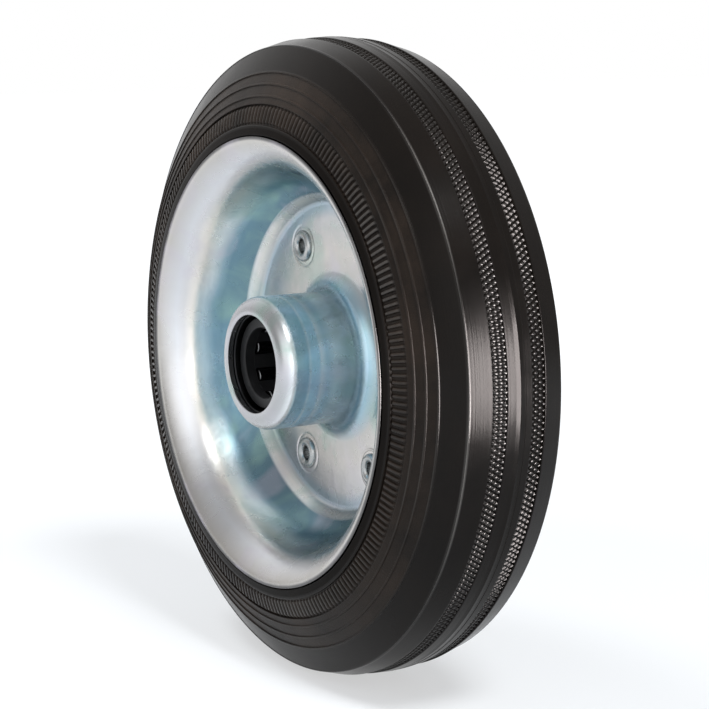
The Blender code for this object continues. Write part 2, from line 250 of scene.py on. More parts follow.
def rounded(corners, steps=6):
    """Closed outline with its corners rounded.

    A corner is (radius, y, rounding). Its arc runs between the two points that lie rounding over
    tan(half its angle) along its sides. One more point just beyond each end of the arc keeps the
    shading of the straight beside it flat.
    """
    point, size = corners[:, :2], corners[:, 2:]
    before = np.roll(point, 1, 0) - point
    after = np.roll(point, -1, 0) - point
    before /= np.linalg.norm(before, axis=1, keepdims=True)
    after /= np.linalg.norm(after, axis=1, keepdims=True)
    half = np.arccos(np.clip((before * after).sum(1, keepdims=True), -1.0, 1.0)) / 2.0
    bent = (size > 0.0) & (half < 1.5)
    half = np.where(bent, half, 1.0)
    size = np.where(bent, size, 0.0)
    reach = size / np.tan(half)
    middle = before + after
    middle /= np.maximum(np.linalg.norm(middle, axis=1, keepdims=True), 1e-9)
    centre = point + middle * size / np.sin(half)
    sweep = math.pi - 2.0 * half
    start = point + before * reach - centre
    end = point + after * reach - centre
    s = np.linspace(0.0, 1.0, steps + 1)
    arc = [centre + (np.sin((1.0 - t) * sweep) * start + np.sin(t * sweep) * end) / np.sin(sweep) for t in s]
    hold = np.where(bent, FLAT_HOLD, 0.0)
    rows = [point + before * (reach + hold)] + arc + [point + after * (reach + hold)]
    outline = np.stack(rows, 1).reshape(-1, 2)
    step = np.linalg.norm(outline - np.roll(outline, 1, 0), axis=1)
    return outline[step > SAME_POINT]


def anticlockwise(outline):
    """The outline with its inside on the left, so that its turned faces point outwards."""
    radius, y = outline.T
    area = (radius * np.roll(y, -1) - np.roll(radius, -1) * y).sum()
    return outline if area > 0.0 else outline[::-1]


def turned(outline, sides, first=0.0):
    """Points (radius cos a, y, radius sin a) for each outline point and each of the angles a."""
    angle = first + TAU * np.arange(sides) / sides
    radius, y = outline[:, :1], outline[:, 1:]
    return np.stack((radius * np.cos(angle), y + 0.0 * angle, radius * np.sin(angle)), -1)


def grid(points, loop_rows=True):
    """Vertices and quads of a grid of points. Its columns close on themselves, and its rows may."""
    rows, columns = points.shape[:2]
    i = np.arange(rows if loop_rows else rows - 1)[:, None]
    j = np.arange(columns)[None, :]
    i2, j2 = (i + 1) % rows, (j + 1) % columns
    quads = np.stack((i * columns + j, i2 * columns + j, i2 * columns + j2, i * columns + j2), -1)
    return points.reshape(-1, 3), quads.reshape(-1, 4)


def solid_of_turn(outline, sides):
    """Closed solid of an outline turned about the axle."""
    return grid(turned(anticlockwise(outline), sides))


def moved(shell, radius, angle, y):
    """A shell's vertices and faces, shifted to a place round the axle."""
    return shell[0] + (radius * math.cos(angle), y, radius * math.sin(angle)), shell[1]


def add_piece(name, shells, finish, body, nodes, merge=False, wear_and_glint=None):
    """One object from one or more shells, riding on its body in place of its nodes.

    Where shells share edges they are merged, and then their faces are turned outwards. A vertex
    attribute says for each vertex how far it stands out, where hands and dust find it first, and where
    painted glints fall.
    """
    points, faces, base = [], [], 0
    for vertices, quads in shells:
        points.append(vertices)
        faces.append(quads + base)
        base += len(vertices)
    mesh = bpy.data.meshes.new(name)
    mesh.from_pydata(np.concatenate(points).tolist(), [], np.concatenate(faces).tolist())
    if merge:
        bm = bmesh.new()
        bm.from_mesh(mesh)
        bmesh.ops.remove_doubles(bm, verts=bm.verts, dist=2.0 * SAME_POINT)
        bmesh.ops.recalc_face_normals(bm, faces=bm.faces)
        bm.to_mesh(mesh)
        bm.free()
    if wear_and_glint is not None:
        mesh.attributes.new("wear_and_glint", "FLOAT", "POINT").data.foreach_set("value", wear_and_glint.ravel())
    mesh.shade_smooth()
    mesh.set_sharp_from_angle(angle=SHARP_ANGLE)
    mesh.materials.append(finish)
    piece = bpy.data.objects.new(name, mesh)
    bpy.context.scene.collection.objects.link(piece)
    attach(piece, body)
    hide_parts(*nodes)
    return piece


def with_rounding(points, size):
    """Corners (radius, y, rounding) from points that all have the same rounding."""
    points = np.asarray(points, float)
    return np.column_stack((points, np.full(len(points), size)))


# Materials.


def feed(node, inputs):
    """Set or link a node's inputs, by name or by number.

    A node stands for its first output in use, and a hex code for its colour. By number, 1 to 4 of
    a Map Range are the two ends it reads and the two it gives, and 6 and 7 of a Mix are colours.
    """
    for name, value in inputs.items():
        if isinstance(value, bpy.types.Node):
            value = next(output for output in value.outputs if output.enabled)
        if isinstance(value, bpy.types.NodeSocket):
            node.id_data.links.new(value, node.inputs[name])
        else:
            node.inputs[name].default_value = linear(value) if isinstance(value, str) else value


def add_node(tree, kind, inputs, stops=(), **settings):
    """A node with its settings and inputs, and its colour stops in order, the first at 0."""
    made = tree.nodes.new("ShaderNode" + kind)
    for name, value in settings.items():
        setattr(made, name, value)
    feed(made, inputs)
    if stops:
        ramp = made.color_ramp.elements
        ramp.remove(ramp[-1])
        for i, (place, tint) in enumerate(stops):
            stop = ramp.new(place) if i else ramp[0]
            stop.color = linear(tint) if isinstance(tint, str) else tint
    return made


def new_finish(name):
    """A new material, add_node for its tree, its shader and its Object coordinates."""
    finish = bpy.data.materials.new(name)
    finish.use_nodes = True
    add = functools.partial(add_node, finish.node_tree)
    return finish, add, finish.node_tree.nodes["Principled BSDF"], add("TexCoord", {}).outputs["Object"]


def from_axle(add, place):
    """How far a point lies from the axle, and where it lies along it."""
    x, y, z = add("SeparateXYZ", {"Vector": place}).outputs
    across = add("CombineXYZ", {"X": x, "Z": z})
    return add("VectorMath", {0: across}, operation="LENGTH"), y


def zinc_on_pressed_sheet(discs):
    """Blue passivated zinc on drawn sheet.

    A bright metal under a clear film. Its tint changes with the depth of the draw: grey at the lip,
    beige and blue down the bowl, blue round the hub. The dark blue deep in the bowl is partly painted
    shade, and the pale bands where the lip meets the bowl are partly painted highlight. It wanders a
    little to green and lilac. The drawing leaves a faint orange peel, and the crystals of the zinc
    glitter in the highlights.
    """
    finish, add, shader, place = new_finish("blue_passivated_zinc_on_pressed_sheet")
    radius, y = from_axle(add, place)
    # The film's bands stray by up to 2.5 mm from circles round the axle.
    wander = add("TexNoise", {"Vector": place, "Scale": 26.0, "Detail": 3.0})
    shift = add("Math", {0: wander, 1: 0.005, 2: -0.0025}, operation="MULTIPLY_ADD")
    # It changes tint every few millimetres down the bowl. 72 mm of radius spans the ramp.
    reach = add("Math", {0: radius, 1: shift}, operation="ADD")
    along = add("Math", {0: reach, 1: 1.0 / 0.072}, operation="MULTIPLY")
    # Its stops were set by the bowl's brightness at each radius, so they hold light as well as film: the
    # dark blue from 52 to 56.5 mm is partly painted shade, and the near-white bands at 59 to 60 mm partly
    # painted highlight.
    bowl = add("ValToRGB", {"Fac": along}, stops=(
        (0.0, "cbcaca"), (0.722, "637f8c"), (0.764, "64828f"), (0.785, "698897"), (0.799, "8aa5b2"),
        (0.818, "d6dee1"), (0.833, "e6e1da"), (0.854, "cfcfd1"), (0.875, "ced0d4"), (0.917, "c2c1c1"),
        (0.949, "b8b5b1"), (1.0, "b8b5b1"),
    ))
    # The last millimetre of the lip is darker grey.
    rim = add("MapRange", {"Value": radius, 1: 0.0687, 2: 0.0694})
    lip = add("Mix", {"Factor": rim, 6: bowl, 7: "666565"}, data_type="RGBA")
    # Inside the step the bands are true circles, and 52 mm of radius spans the ramp.
    inwards = add("Math", {0: radius, 1: 1.0 / 0.052}, operation="MULTIPLY")
    flat_web = add("ValToRGB", {"Fac": inwards}, stops=(
        (0.0, "cbcaca"), (0.43, "9cbac8"), (0.53, "b9b7b4"), (0.65, "c4c0bc"), (0.84, "c2c2c3"),
        (0.90, "a2b1ba"), (0.935, "9eadb7"), (0.952, "b6babb"), (0.972, "dcdad6"), (1.0, "e0e2e5"),
    ))
    ridge = add("MapRange", {"Value": radius, 1: 0.0513, 2: 0.0519})
    pressed = add("Mix", {"Factor": ridge, 6: flat_web, 7: lip}, data_type="RGBA")
    # The hub was drawn in steps, and each leaves a paler line round the tube. 30 mm spans the ramp.
    depth = add("Math", {0: y}, operation="ABSOLUTE")
    down = add("Math", {0: shift, 1: 0.4, 2: depth}, operation="MULTIPLY_ADD")
    level = add("Math", {0: down, 1: 1.0 / 0.030}, operation="MULTIPLY")
    tube = add("ValToRGB", {"Fac": level}, stops=(
        (0.0, discs.blue), (0.25, "aac7d8"), (0.40, "d6f0fd"), (0.50, "bcdff1"), (0.57, "e2f2fa"),
        (0.60, "bcdff1"), (0.68, "c2e4f4"), (0.70, "e6f2f8"), (0.73, "b2d4e5"), (0.83, "d8ecf6"),
        (0.89, "e8eff2"), (0.95, "bcbfc2"), (1.0, "b1b2b4"),
    ))
    hub = add("Math", {0: radius, 1: 0.0222}, operation="LESS_THAN")
    # Green clouds lie inside the bowl's foot, and lilac ones anywhere.
    patch = add("TexNoise", {"Vector": place, "Scale": 55.0, "Detail": 4.0, "Distortion": 0.8})
    inside = add("MapRange", {"Value": radius, 1: 0.062, 2: 0.058, 4: 0.45})
    amount = add("MapRange", {"Value": patch, 1: 0.5, 2: 0.68, 4: inside})
    thin = add("MapRange", {"Value": patch, 1: 0.46, 2: 0.3, 4: 0.3})
    tint = pressed
    for part, film in ((hub, tube), (amount, discs.teal), (thin, discs.lilac)):
        tint = add("Mix", {"Factor": part, 6: tint, 7: film}, data_type="RGBA")
    smear = add("TexNoise", {"Vector": place, "Scale": 90.0, "Detail": 5.0})
    gloss = add("MapRange", {"Value": smear, 1: 0.3, 2: 0.7, 3: 0.22, 4: 0.31})
    # Crystals are about 0.05 mm. They are drawn at 0.4 mm so that they show in the picture.
    grain = add("TexNoise", {"Vector": place, "Scale": 2500.0, "Detail": 2.0})
    peel = add("TexNoise", {"Vector": place, "Scale": 260.0, "Detail": 2.0})
    relief = add("Math", {0: grain, 1: 0.25, 2: peel}, operation="MULTIPLY_ADD")
    bump = add("Bump", {"Height": relief, "Strength": 0.12, "Distance": 0.0004})
    feed(shader, {"Base Color": tint, "Roughness": gloss, "Metallic": 1.0, "Normal": bump})
    return finish


def moulded_rubber(tyre):
    """Black vulcanised rubber from a steel mould.

    The tread and the outer sidewall come from polished steel and are glossy. The inner sidewall
    has a blasted skin, is duller and a little brown, and holds the dust. The flash, the rings and
    the tops of the ribs and diamonds are mixed to a light grey and made glossier: partly real rub,
    partly a painted glint, strongest where the lamps catch them.
    """
    finish, add, shader, place = new_finish("black_moulded_rubber")
    radius, y = from_axle(add, place)
    inner = add("MapRange", {"Value": radius, 1: 0.0734, 2: 0.0738})
    blasted = add("MapRange", {"Value": radius, 1: 0.0892, 2: 0.0898, 3: inner, 4: 0.0})
    cloud = add("TexNoise", {"Vector": place, "Scale": 40.0, "Detail": 5.0, "Roughness": 0.6})
    dust = add("MapRange", {"Value": cloud, 1: 0.35, 2: 0.75, 3: 0.1, 4: 0.9})
    held = add("MapRange", {"Value": blasted, 3: 0.15, 4: 1.0})
    amount = add("Math", {0: dust, 1: held}, operation="MULTIPLY")
    tint = add("Mix", {"Factor": amount, 6: tyre.black, 7: tyre.wear_and_glint}, data_type="RGBA")
    # The vertex attribute mixes in a light grey: partly real rub, partly painted glints where the lamps
    # catch the flash, rings and tops.
    tops = add("Attribute", {}, attribute_name="wear_and_glint").outputs["Fac"]
    rubbed_and_glint = add("Mix", {"Factor": tops, 6: tint, 7: tyre.rubbed_and_glint}, data_type="RGBA")
    shine = add("MapRange", {"Value": tops, 2: 0.1})
    patch = add("TexNoise", {"Vector": place, "Scale": 120.0, "Detail": 4.0})
    uneven = add("MapRange", {"Value": patch, 1: 0.3, 2: 0.7, 3: 0.19, 4: 0.26})
    gloss = add("Math", {0: blasted, 1: 0.14, 2: uneven}, operation="MULTIPLY_ADD")
    polished = add("Math", {0: shine, 1: -0.06, 2: gloss}, operation="MULTIPLY_ADD")
    # The plain ring beside the rim is the darkest rubber, and the grey rub and painted glint mirror most.
    bead = add("MapRange", {"Value": radius, 1: 0.0724, 2: 0.0734, 3: 0.03, 4: 0.10})
    bright = add("MapRange", {"Value": shine, 3: bead, 4: 0.32})
    # The mould's blasted skin is about 0.1 mm. It is drawn at 0.5 mm so that it shows.
    skin = add("TexNoise", {"Vector": place, "Scale": 2000.0, "Detail": 2.0})
    depth = add("MapRange", {"Value": blasted, 3: 0.03, 4: 0.35})
    bump = add("Bump", {"Height": skin, "Strength": depth, "Distance": 0.0003})
    # The mould was turned, so fine rings run round the whole tyre. They are drawn 0.5 mm apart.
    section = add("CombineXYZ", {"X": radius, "Y": y})
    turning = add("TexNoise", {"Vector": section, "Scale": 1800.0, "Detail": 1.0})
    lathe = {"Height": turning, "Strength": 0.1, "Distance": 0.0002, "Normal": bump}
    rings = add("Bump", lathe)
    feed(shader, {"Base Color": rubbed_and_glint, "Roughness": polished, "Normal": rings})
    feed(shader, {"Specular IOR Level": bright, "IOR": 1.52})
    return finish


def rolled_zinc(rivets):
    """Zinc on a rivet's rolled head, polished by the tool that curls it over."""
    finish, add, shader, place = new_finish("zinc_on_rolled_rivet_head")
    smear = add("TexNoise", {"Vector": place, "Scale": 400.0, "Detail": 3.0})
    tint = add("Mix", {"Factor": smear, 6: rivets.plating, 7: "8f979b"}, data_type="RGBA")
    gloss = add("MapRange", {"Value": smear, 1: 0.3, 2: 0.7, 3: 0.2, 4: 0.34})
    feed(shader, {"Base Color": tint, "Roughness": gloss, "Metallic": 1.0})
    return finish


def ground_steel(name, code, rough):
    """Ground steel: grey metal with fine scratches round the axle, under a thin film of oil."""
    finish, add, shader, place = new_finish(name)
    # Grinding lines are a few hundredths of a millimetre apart. They are drawn 0.3 mm apart.
    stretch = add("Mapping", {"Vector": place, "Scale": (60.0, 3300.0, 60.0)})
    lines = add("TexNoise", {"Vector": stretch, "Scale": 1.0, "Detail": 2.0})
    tint = add("Mix", {"Factor": lines, 6: code, 7: "242526"}, data_type="RGBA")
    gloss = add("MapRange", {"Value": lines, 3: rough, 4: rough + 0.12})
    feed(shader, {"Base Color": tint, "Roughness": gloss, "Metallic": 1.0})
    return finish


def moulded_nylon():
    """Black nylon, injection moulded: satin, with a faint grain and a film of grease."""
    finish, add, shader, place = new_finish("black_moulded_nylon")
    film = add("TexNoise", {"Vector": place, "Scale": 250.0, "Detail": 3.0})
    tint = add("Mix", {"Factor": film, 6: "1b1b1c", 7: "272728"}, data_type="RGBA")
    gloss = add("MapRange", {"Value": film, 3: 0.3, 4: 0.5})
    feed(shader, {"Base Color": tint, "Roughness": gloss, "IOR": 1.53, "Specular IOR Level": 0.2})
    return finish


# Tyre.


def sidewall(tyre, discs, gap, radius):
    """Half width of the tyre at a radius.

    It is a straight from the bead to the shoulder plus 4 bulge t (1 - t), with t from 0 to 1.
    """
    bead_radius = discs.rim_radius + gap + tyre.bead
    bead_y = discs.rim_half_width - tyre.bead_setback - tyre.bead_slope
    t = (radius - bead_radius) / (tyre.radius - tyre.shoulder_drop - bead_radius)
    return bead_y + (tyre.shoulder - bead_y) * t + 4.0 * tyre.bulge * t * (1.0 - t)


def tyre_half(tyre, discs, gap, front):
    """Corners of half the tyre's outside, from the toe beside the rim lip to the middle rib.

    A corner is (radius, half width, rounding). Three flat-topped rings with steep sides run round
    the sidewall. A thin burr, the flash, stands on the shoulder where the mould closed, and a mould
    line runs round the crown. The rear half of the middle rib has one more fine line.
    """
    wall = functools.partial(sidewall, tyre, discs, gap)
    toe = discs.rim_radius + gap
    bead = toe + tyre.bead
    band = bead + tyre.band
    recess = tyre.band_depth + HAIR
    edge = tyre.radius - tyre.shoulder_drop
    # The wall's points keep 0.6 mm off its ends and 0.7 mm off each ring.
    radii = np.linspace(band + 0.0006, edge - 0.0006, WALL_STEPS)
    walls = np.column_stack((radii, wall(radii), 0.0 * radii))
    across, rise, rounding = np.array(RING_SECTION).T
    for middle in tyre.ring_radii:
        top = wall(middle + across) + tyre.ring_height * rise
        clear = np.abs(walls[:, 0] - middle) > 0.0007
        walls = np.concatenate((walls[clear], np.column_stack((middle + across, top, rounding))))
    walls = walls[np.argsort(walls[:, 0], kind="stable")]
    groove_end = tyre.middle_rib + tyre.groove
    outer = tyre.radius - tyre.outer_rib_drop
    floor = tyre.groove_depth + HAIR
    start = [
        (toe, discs.rim_half_width - tyre.bead_setback, 0.00035),
        (bead, wall(bead), 0.0003),
        (bead + HAIR, wall(bead) - recess, 0.0001),
        (band - HAIR, wall(band) - recess, 0.0001),
        (band, wall(band), 0.0002),
    ]
    flash = [(edge - 0.0002, tyre.shoulder + 0.0007, 0.0003), (edge - HAIR, tyre.shoulder - 0.0002, 0.0001)]
    groove = [
        (outer, groove_end, 0.0003),
        (outer - floor, groove_end - 0.0002, 0.0002),
        (tyre.radius - floor, tyre.middle_rib + 0.0002, 0.0002),
        (tyre.radius - tyre.roof, tyre.middle_rib, 0.0003),
    ]
    fine_line = 0.0 if front else 0.0001
    crown = [
        (tyre.radius - 0.47 * tyre.roof, 0.0020, 0.0),
        (tyre.radius - 0.44 * tyre.roof + fine_line, 0.0019, 0.0),
        (tyre.radius - 0.42 * tyre.roof, 0.0018, 0.0),
        (tyre.radius - 0.07 * tyre.roof, 0.0003, 0.0),
        (tyre.radius + 0.00006, 0.00005, 0.0),
    ]
    return np.concatenate((start, walls, flash, groove, crown))


def tyre_outline(tyre, discs, gap):
    """Closed outline of the tyre: both halves, and the channel that the discs' backs lie in."""
    mirror = np.array((1.0, -1.0, 1.0))
    front_half = tyre_half(tyre, discs, gap, True) * mirror
    rear_half = tyre_half(tyre, discs, gap, False)
    front_back = offset_corners(disc_corners(discs, True, CHANNEL_STEPS), discs.sheet + gap)
    rear_back = offset_corners(disc_corners(discs, False, CHANNEL_STEPS), discs.sheet + gap) * mirror
    floor = discs.ridge_radius + discs.sheet + 0.002
    front = front_back[front_back[:, 0] > floor]
    rear = rear_back[rear_back[:, 0] > floor]
    front[0, 0] = rear[0, 0] = discs.rim_radius + gap
    front[:, 2] = rear[:, 2] = 0.0
    return anticlockwise(rounded(np.concatenate((front_half, rear_half[::-1], rear, front[::-1])), 2))


# Places the painted glints on the stretches of the wheel where the lamps catch the tyre.
def glint_stretch(angle, middle, narrowness):
    """A bell round the wheel: exp(-narrowness (1 - cos(angle - middle)))."""
    return np.exp(-narrowness * (1.0 - np.cos(angle - middle)))


def wear_and_glint_lines(tyre, outline):
    """How much grey rub and painted glint each point of the turned outline takes.

    It is a bell curve over the flash's tip, 0.8 high, and one over each fine ring, 0.07 high, times
    0.06 plus two stretches of the wheel where painted glints fall.
    """
    radius, half_width = outline[:, 0], np.abs(outline[:, 1])
    flash = (radius - tyre.radius + tyre.shoulder_drop + 0.0002, half_width - tyre.shoulder - 0.0005)
    wear_and_glint = 0.8 * np.exp(-(flash[0] ** 2 + flash[1] ** 2) / 0.0003 ** 2)
    for middle in tyre.ring_radii:
        wear_and_glint = wear_and_glint + 0.07 * np.exp(-((radius - middle) / 0.0002) ** 2) * (half_width > tyre.shoulder)
    angle = TAU * np.arange(TYRE_SIDES) / TYRE_SIDES
    return wear_and_glint[:, None] * (0.06 + glint_stretch(angle, 0.65, 45.0) + glint_stretch(angle, -0.21, 25.0))


def ribbed_band(tyre, discs, gap, side):
    """Radial ribs beside the bead as one ring, and how much grey rub and painted glint each point takes.

    Half width = sidewall - depth + depth * a(angle) * e(radius): a is a trapezoid with soft edges
    once a rib, and e rises over the first half millimetre at each end of the rib. Rub and glint =
    e a^3 times 0.04 plus 0.12 of two stretches of the wheel where painted glints fall.
    """
    start = discs.rim_radius + gap + tyre.bead
    end = start + tyre.band
    inset = np.array((-HAIR, 0.00015, 0.0003, 0.0006, 0.0010))
    radius = np.concatenate((start + inset, ((start + end) / 2.0,), end - inset[::-1]))
    wave = np.tile(RIB_WAVE, tyre.ribs)
    rise = np.clip((np.minimum(radius - start, end - radius) - 0.0003) / 0.0007, 0.0, 1.0)
    rise = rise * rise * (3.0 - 2.0 * rise)
    wall = sidewall(tyre, discs, gap, radius)
    top = wall[:, None] - tyre.band_depth * (1.0 - rise[:, None] * wave[None, :])
    under = wall[[-1, 0], None] - 2.5 * tyre.band_depth + 0.0 * wave[None, :]
    radius = np.concatenate((radius, radius[[-1, 0]]))[:, None]
    angle = TAU * np.arange(len(wave)) / len(wave)
    stretch = glint_stretch(angle, 0.6, 30.0) + glint_stretch(angle, -1.4, 20.0)
    wear_and_glint = np.concatenate((rise[:, None] * wave ** 3, 0.0 * under)) * (0.04 + 0.12 * stretch)
    return sided_ring(radius, np.concatenate((top, under)), angle, wear_and_glint, side, -1.0)


def knurled_groove(tyre, side):
    """Diamonds on a groove's floor as one ring, and how much grey rub and painted glint each point takes.

    Height = 1.9 * the lower of two triangle waves, at most 1, times the knurl height. The waves
    run along angle / pitch plus and minus y / period, so that their valleys cross and leave
    flat-topped diamonds. Rub and glint = that share of the height, to the power 4, times 0.01 plus
    0.08 f^4, where f = (1 + cos(angle)) / 2: the painted glint is strongest on the side towards the
    side softbox.
    """
    start = tyre.middle_rib - HAIR
    end = tyre.middle_rib + tyre.groove + HAIR
    y = np.linspace(start, end, KNURL_ROWS)[:, None]
    turn_share = np.arange(tyre.knurls * KNURL_STEPS)[None, :] / KNURL_STEPS
    floor = tyre.radius - tyre.groove_depth - tyre.outer_rib_drop * (y - start) / (end - start)
    waves = [np.abs(((turn_share + way * y / tyre.knurl_period) % 1.0) * 2.0 - 1.0) for way in (1.0, -1.0)]
    share_up = np.minimum(1.0, 1.9 * (1.0 - np.maximum(*waves)))
    top = floor + tyre.knurl_height * share_up
    under = floor[[-1, 0]] - 0.0008 + 0.0 * turn_share
    half_width = np.concatenate((y, y[[-1, 0]]))
    angle = TAU * turn_share[0] / tyre.knurls
    facing = 0.5 + 0.5 * np.cos(angle)
    wear_and_glint = np.concatenate((share_up ** 4, 0.0 * under)) * (0.01 + 0.08 * facing ** 4)
    return sided_ring(np.concatenate((top, under)), half_width, angle, wear_and_glint, side, 1.0)


def sided_ring(radius, half_width, angle, wear_and_glint, side, right_way):
    """A ring's shell and its worn values for one side of the wheel, with its faces outwards.

    Its points are (radius cos a, side * half width, radius sin a). On the side that isn't right_way
    the rows run backwards, which turns the faces round.
    """
    x, z = radius * np.cos(angle), radius * np.sin(angle)
    points = np.stack(np.broadcast_arrays(x, side * half_width, z), -1)
    return (grid(points), wear_and_glint) if side == right_way else (grid(points[::-1]), wear_and_glint[::-1])


# Discs.


def disc_corners(discs, front, steps):
    """Corners of a disc's visible side, from the rim lip to the hub's mouth, with y negative there.

    The lip is a tight arc and then a wider one. The bowl is a cubic curve that stays steep: its
    handles are 0.65 and 0.3 of its chord.
    """
    angle = np.linspace(0.0, discs.curl_turn, steps + 1)
    tight, loose = np.minimum(angle, discs.edge_turn), np.maximum(angle, discs.edge_turn)
    rolled = np.sin(loose) - math.sin(discs.edge_turn)
    radius = discs.rim_radius - discs.edge * np.sin(tight) - discs.curl * rolled
    y = discs.edge * (1.0 - np.cos(tight)) + discs.curl * (math.cos(discs.edge_turn) - np.cos(loose))
    lip = np.column_stack((radius, y - discs.rim_half_width))
    web = web_face(discs, front)
    if front:
        end = np.array((discs.ridge_radius, -discs.ridge_forward))
        slope = discs.ridge_slope
    else:
        end = np.array((discs.rear_web, web))
        slope = 0.0
    reach = np.linalg.norm(end - lip[-1])
    first = lip[-1] + 0.65 * reach * np.array((-math.cos(discs.curl_turn), math.sin(discs.curl_turn)))
    last = end - 0.3 * reach * np.array((-math.cos(slope), math.sin(slope)))
    t = np.linspace(0.0, 1.0, 2 * steps + 1)[1:, None]
    bowl = (1 - t) ** 3 * lip[-1] + 3 * t * (1 - t) ** 2 * first + 3 * t * t * (1 - t) * last + t ** 3 * end
    smooth = with_rounding(np.concatenate((lip, bowl)), 0.0)
    hub = [
        (discs.tube, web, discs.fillet),
        (discs.tube, -discs.half_hub, discs.corner),
        (discs.mouth, -discs.half_hub, 0.0),
    ]
    if front:
        ridge_rounding, foot_rounding = 0.0020, 0.0021
        smooth[-1, 2] = ridge_rounding
        hub.insert(0, (discs.ridge_radius - discs.foot, web, foot_rounding))
    return np.concatenate((smooth, hub))


def web_face(discs, front):
    """Where a disc's web shows, with y negative towards the side that it shows."""
    return (discs.web_plane if front else -discs.web_plane) - WEB_GAP - discs.sheet


def offset_corners(corners, distance):
    """The line's corners moved to the right by a distance and mitred, with their roundings to suit.

    Both ends keep their radius, because the sheet is cut off parallel to the axle there.
    """
    point, size = corners[:, :2], corners[:, 2]
    step = np.diff(point, axis=0)
    step /= np.linalg.norm(step, axis=1, keepdims=True)
    right = np.column_stack((step[:, 1], -step[:, 0]))
    total = right[:-1] + right[1:]
    middle = point[1:-1] + total * 2.0 * distance / (total ** 2).sum(1, keepdims=True)
    bend = step[:-1, 0] * step[1:, 1] - step[:-1, 1] * step[1:, 0]
    suited = np.where(bend > 0.0, size[1:-1] + distance, np.maximum(size[1:-1] - distance, 0.0003))
    suited = np.where(size[1:-1] > 0.0, suited, 0.0)
    ends = point[[0, -1]] + (0.0, distance)
    placed = np.concatenate((ends[:1], middle, ends[1:]))
    return np.column_stack((placed, np.concatenate(((0.0,), suited, (0.0,)))))


def split_at_web(line, web):
    """Points put into a line of corners where the turned sheet meets the web's sectors."""
    index = np.flatnonzero((line[:-1, 0] > WEB_OUTER) & (line[1:, 0] < WEB_INNER))[0] + 1
    return np.insert(line, index, [(WEB_OUTER, web, 0.0), (WEB_INNER, web, 0.0)], axis=0)


def disc_shells(discs, rivets, front):
    """A disc's sheet: the turned rim and hub, and six sectors of web with a hole in each."""
    line = disc_corners(discs, front, FACE_STEPS)
    web = web_face(discs, front)
    back = offset_corners(disc_corners(discs, front, BACK_STEPS), discs.sheet)
    line[0, 2] = line[-1, 2] = back[0, 2] = back[-1, 2] = 0.0003
    back_y = web + discs.sheet
    outline = rounded(np.concatenate((split_at_web(line, web), split_at_web(back, back_y)[::-1])))
    first = rivets.first - math.pi / rivets.number
    sides = SECTOR_STEPS * rivets.number
    side = 1.0 if front else -1.0
    outline = outline * (1.0, side)
    seams = ((WEB_OUTER, web), (WEB_INNER, web), (WEB_INNER, back_y), (WEB_OUTER, back_y))
    cuts = [find_point(outline, radius, side * y) for radius, y in seams]
    hub = outline[cuts[1]:cuts[2] + 1]
    rim = np.concatenate((outline[cuts[3]:], outline[:cuts[0] + 1]))
    shells = [grid(turned(part, sides, first), loop_rows=False) for part in (hub, rim)]
    for i in range(rivets.number):
        angle = rivets.first + TAU * i / rivets.number
        shells.append(grid(web_sector(rivets, angle, side * web, side * back_y), loop_rows=False))
    return shells


def find_point(outline, radius, y):
    """Index of the outline's point nearest to (radius, y)."""
    return int(np.argmin(np.linalg.norm(outline - (radius, y), axis=1)))


def web_sector(rivets, angle, face, back):
    """One sector of web round a rivet hole, from the border of its face through the hole to its back.

    Rings round the hole are circles up to 7.5 mm and then blend evenly into the sector's border.
    The tool's ring is pressed 0.2 mm into the face as a bell-shaped groove. The back has three
    rings: the hole's, the last circle and the border.
    """
    half = math.pi / rivets.number
    arc = np.linspace(-half, half, SECTOR_STEPS + 1)[:-1]
    edge = np.linspace(0.0, 1.0, RADIAL_STEPS + 1)[:-1]
    border_angle = np.concatenate((arc, half + 0.0 * edge, -arc, -half + 0.0 * edge))
    width = WEB_OUTER - WEB_INNER
    border_radius = np.concatenate((WEB_OUTER + 0.0 * arc, WEB_OUTER - width * edge,
                                    WEB_INNER + 0.0 * arc, WEB_INNER + width * edge))
    border = border_radius[:, None] * np.column_stack((np.cos(border_angle), np.sin(border_angle)))
    border = border - (rivets.circle, 0.0)
    outwards = border / np.linalg.norm(border, axis=1, keepdims=True)
    circles = np.array((rivets.hole, *PRESSED_CIRCLES))
    rings = circles[:, None, None] * outwards
    blend = np.linspace(0.0, 1.0, BLEND_RINGS + 1)[1:, None, None]
    flat = np.concatenate((rings, rings[-1] * (1.0 - blend) + border * blend))
    distance = np.concatenate((circles, np.ones(BLEND_RINGS)))
    into = math.copysign(0.0002, back - face)
    pressed = face + into * np.exp(-((distance - rivets.coin) / 0.0003) ** 2)
    flat = np.concatenate((flat[::-1], flat[[0, len(circles) - 1, -1]]))
    y = np.concatenate((pressed[::-1], np.full(3, back)))
    x, z = flat[:, :, 0] + rivets.circle, flat[:, :, 1]
    along, across = math.cos(angle), math.sin(angle)
    return np.stack((x * along - z * across, y[:, None] + 0.0 * x, x * across + z * along), -1)


def rivet_outline(rivets, sheet):
    """Closed outline of a tubular rivet about its own axis: a shank with a half ellipse at each end.

    Its heads sit 0.02 mm off the webs.
    """
    seat = sheet + WEB_GAP + 0.00002
    middle = (rivets.bore + rivets.head) / 2.0
    wide = (rivets.head - rivets.bore) / 2.0
    t = np.linspace(math.pi, 0.0, 17)
    roll = np.column_stack((middle + wide * np.cos(t), seat + rivets.head_height * np.sin(t)))
    end = np.concatenate((roll, [(rivets.shank, seat)]))
    return np.concatenate((end, (end * (1.0, -1.0))[::-1]))


# Bearing.


